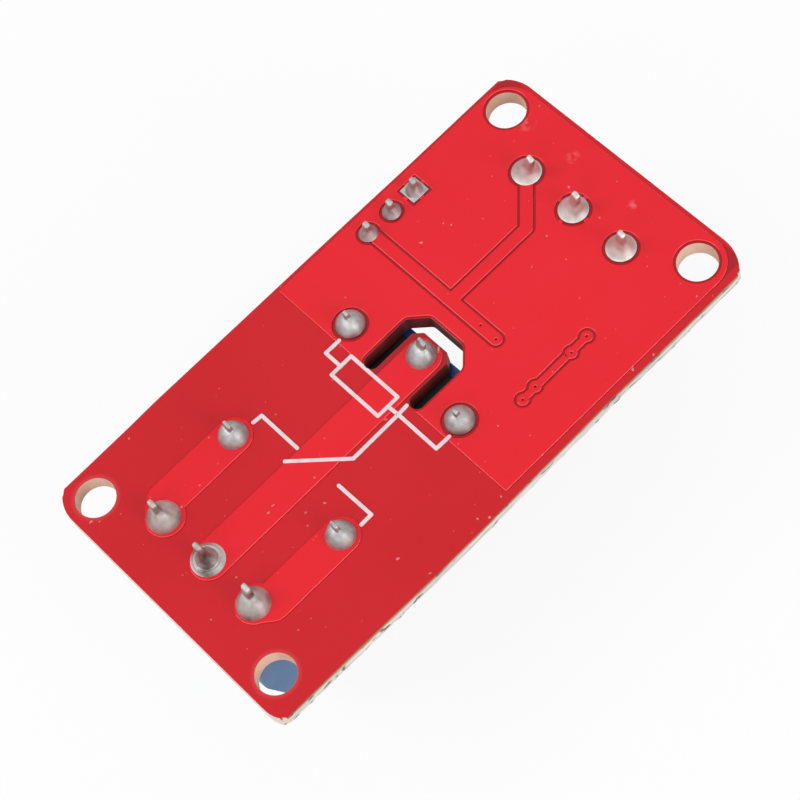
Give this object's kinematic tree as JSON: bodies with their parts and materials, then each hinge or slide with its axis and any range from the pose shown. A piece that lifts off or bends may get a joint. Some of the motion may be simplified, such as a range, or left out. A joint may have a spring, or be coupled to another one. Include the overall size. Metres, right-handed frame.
{
  "type": "relay module board",
  "caption": "Relay on a small red circuit board with screw terminals at both ends, a pin header and an isolating slot, lying solder side up.",
  "frame": {"origin": "middle of the board's outline, level with the relay's top face, on which the module lies", "axes": "+X along the board towards the input terminals, +Y across it towards the pin header, +Z out of the solder side"},
  "size_m": [0.0492, 0.0264, 0.0195],
  "materials": {
    "laminate": "solder mask on glass laminate",
    "masked_copper": "copper foil under glossy solder mask",
    "print_ink": "screen-printed ink",
    "solder": "bright solder",
    "tinned_metal": "tinned",
    "relay_blue": "moulded",
    "black_plastic": "moulded",
    "bobbin_plastic": "moulded",
    "magnet_iron": "plated",
    "winding_wire": "enamelled copper wire",
    "contact_brass": "bronze and brass, silver contacts",
    "block_blue": "moulded",
    "terminal_steel": "zinc plated",
    "gold_pins": "plated",
    "chip_ceramic": "glazed",
    "lamp_body": "clear lens on a white base"
  },
  "bodies": {
    "module": {"pcb": "laminate", "copper_pour": "masked_copper", "common_track": "masked_copper", "closed_contact_track": "masked_copper", "open_contact_track": "masked_copper", "signal_track": "masked_copper", "via_link": "masked_copper", "relay_symbol_print": "print_ink", "relay_solder_joints": "solder", "output_solder_joints": "solder", "input_solder_joints": "solder", "header_solder_joints": "solder", "relay_case": "relay_blue", "relay_base": "black_plastic", "relay_yoke": "magnet_iron", "relay_core": "magnet_iron", "relay_bobbin": "bobbin_plastic", "relay_coil": "winding_wire", "relay_coil_pins": "tinned_metal", "relay_open_contact": "contact_brass", "relay_closed_contact": "contact_brass", "relay_common_terminal": "contact_brass", "output_terminal_housing": "block_blue", "output_terminal_frames": "contact_brass", "input_terminal_housing": "block_blue", "input_terminal_frames": "contact_brass", "header_insulator": "black_plastic", "header_pins": "gold_pins", "optocoupler": "black_plastic", "optocoupler_leads": "tinned_metal", "transistor": "black_plastic", "transistor_leads": "tinned_metal", "flyback_diode": "black_plastic", "resistors": "chip_ceramic", "chip_terminals": "tinned_metal", "status_lamp": "lamp_body", "power_lamp": "lamp_body"},
    "armature": {"relay_armature": "magnet_iron", "relay_contact_leaf": "contact_brass"},
    "jumper": {"jumper_cap": "black_plastic", "jumper_clip": "contact_brass"},
    "output_guard_1": {"output_wire_guard_1": "terminal_steel"},
    "output_screw_1": {"output_terminal_screw_1": "terminal_steel"},
    "output_guard_2": {"output_wire_guard_2": "terminal_steel"},
    "output_screw_2": {"output_terminal_screw_2": "terminal_steel"},
    "output_guard_3": {"output_wire_guard_3": "terminal_steel"},
    "output_screw_3": {"output_terminal_screw_3": "terminal_steel"},
    "input_guard_1": {"input_wire_guard_1": "terminal_steel"},
    "input_screw_1": {"input_terminal_screw_1": "terminal_steel"},
    "input_guard_2": {"input_wire_guard_2": "terminal_steel"},
    "input_screw_2": {"input_terminal_screw_2": "terminal_steel"},
    "input_guard_3": {"input_wire_guard_3": "terminal_steel"},
    "input_screw_3": {"input_terminal_screw_3": "terminal_steel"}
  },
  "joints": [
    {"name": "armature_close", "type": "hinge", "parent": "module", "child": "armature", "pos_m": [0.0021, 0.00025, 0.0042], "axis": [0, 1, 0], "range_deg": [0, 2.2], "stiffness_Nm_per_rad": 0.003, "springref_deg": -17.19},
    {"name": "jumper_lift", "type": "slide", "parent": "module", "child": "jumper", "axis": [0, 0, -1], "range_m": [0, 0.006]},
    {"name": "output_screw_1_turn", "type": "hinge", "parent": "output_guard_1", "child": "output_screw_1", "pos_m": [-0.01915, 0.00533, 0.006], "axis": [0, 0, 1], "range_deg": [0, 1800.1]},
    {"name": "output_guard_1_press", "type": "slide", "parent": "module", "child": "output_guard_1", "axis": [0, 0, 1], "range_m": [0, 0.00225]},
    {"name": "output_screw_2_turn", "type": "hinge", "parent": "output_guard_2", "child": "output_screw_2", "pos_m": [-0.01915, 0.00025, 0.006], "axis": [0, 0, 1], "range_deg": [0, 1800.1]},
    {"name": "output_guard_2_press", "type": "slide", "parent": "module", "child": "output_guard_2", "axis": [0, 0, 1], "range_m": [0, 0.00225]},
    {"name": "output_screw_3_turn", "type": "hinge", "parent": "output_guard_3", "child": "output_screw_3", "pos_m": [-0.01915, -0.00483, 0.006], "axis": [0, 0, 1], "range_deg": [0, 1800.1]},
    {"name": "output_guard_3_press", "type": "slide", "parent": "module", "child": "output_guard_3", "axis": [0, 0, 1], "range_m": [0, 0.00225]},
    {"name": "input_screw_1_turn", "type": "hinge", "parent": "input_guard_1", "child": "input_screw_1", "pos_m": [0.01855, -0.00483, 0.006], "axis": [0, 0, 1], "range_deg": [0, 1800.1]},
    {"name": "input_guard_1_press", "type": "slide", "parent": "module", "child": "input_guard_1", "axis": [0, 0, 1], "range_m": [0, 0.00225]},
    {"name": "input_screw_2_turn", "type": "hinge", "parent": "input_guard_2", "child": "input_screw_2", "pos_m": [0.01855, 0.00025, 0.006], "axis": [0, 0, 1], "range_deg": [0, 1800.1]},
    {"name": "input_guard_2_press", "type": "slide", "parent": "module", "child": "input_guard_2", "axis": [0, 0, 1], "range_m": [0, 0.00225]},
    {"name": "input_screw_3_turn", "type": "hinge", "parent": "input_guard_3", "child": "input_screw_3", "pos_m": [0.01855, 0.00533, 0.006], "axis": [0, 0, 1], "range_deg": [0, 1800.1]},
    {"name": "input_guard_3_press", "type": "slide", "parent": "module", "child": "input_guard_3", "axis": [0, 0, 1], "range_m": [0, 0.00225]}
  ],
  "couplings": [
    {"joint": "output_screw_1_turn", "follows": "output_guard_1_press", "rad_per_m": 13963},
    {"joint": "output_screw_2_turn", "follows": "output_guard_2_press", "rad_per_m": 13963},
    {"joint": "output_screw_3_turn", "follows": "output_guard_3_press", "rad_per_m": 13963},
    {"joint": "input_screw_1_turn", "follows": "input_guard_1_press", "rad_per_m": 13963},
    {"joint": "input_screw_2_turn", "follows": "input_guard_2_press", "rad_per_m": 13963},
    {"joint": "input_screw_3_turn", "follows": "input_guard_3_press", "rad_per_m": 13963}
  ]
}
